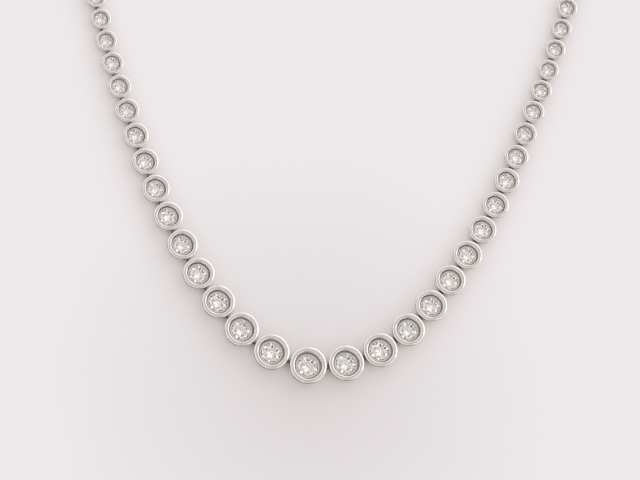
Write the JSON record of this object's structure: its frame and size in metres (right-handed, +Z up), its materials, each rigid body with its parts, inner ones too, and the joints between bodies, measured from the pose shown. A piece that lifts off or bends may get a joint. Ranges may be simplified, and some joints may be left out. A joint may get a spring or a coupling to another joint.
{
  "type": "diamond necklace",
  "caption": "Graduated line necklace of round brilliant stones in white metal tube settings, linked into a closed loop with a box clasp.",
  "frame": {"origin": "on the surface that the necklace lies on, under the middle of the loop's box", "axes": "+Z up out of the stones' faces, +Y from the largest stone to the clasp along the loop, +X to the right as seen from above"},
  "size_m": [0.1086, 0.1571, 0.0037],
  "materials": {
    "white_gold": "polished",
    "diamond": "faceted"
  },
  "bodies": {
    "root": {"setting_centre": "white_gold", "setting_r1": "white_gold", "setting_r2": "white_gold", "setting_r3": "white_gold", "setting_r4": "white_gold", "setting_r5": "white_gold", "setting_r6": "white_gold", "setting_r7": "white_gold", "setting_r8": "white_gold", "setting_r9": "white_gold", "setting_l1": "white_gold", "setting_l2": "white_gold", "setting_l3": "white_gold", "setting_l4": "white_gold", "setting_l5": "white_gold", "setting_l6": "white_gold", "setting_l7": "white_gold", "setting_l8": "white_gold", "setting_l9": "white_gold", "stone_centre": "diamond", "stone_r1": "diamond", "stone_r2": "diamond", "stone_r3": "diamond", "stone_r4": "diamond", "stone_r5": "diamond", "stone_r6": "diamond", "stone_r7": "diamond", "stone_r8": "diamond", "stone_r9": "diamond", "stone_l1": "diamond", "stone_l2": "diamond", "stone_l3": "diamond", "stone_l4": "diamond", "stone_l5": "diamond", "stone_l6": "diamond", "stone_l7": "diamond", "stone_l8": "diamond", "stone_l9": "diamond", "settings_right": "white_gold", "settings_left": "white_gold", "stones_right": "diamond", "stones_left": "diamond", "clasp": "white_gold"}
  },
  "joints": []
}
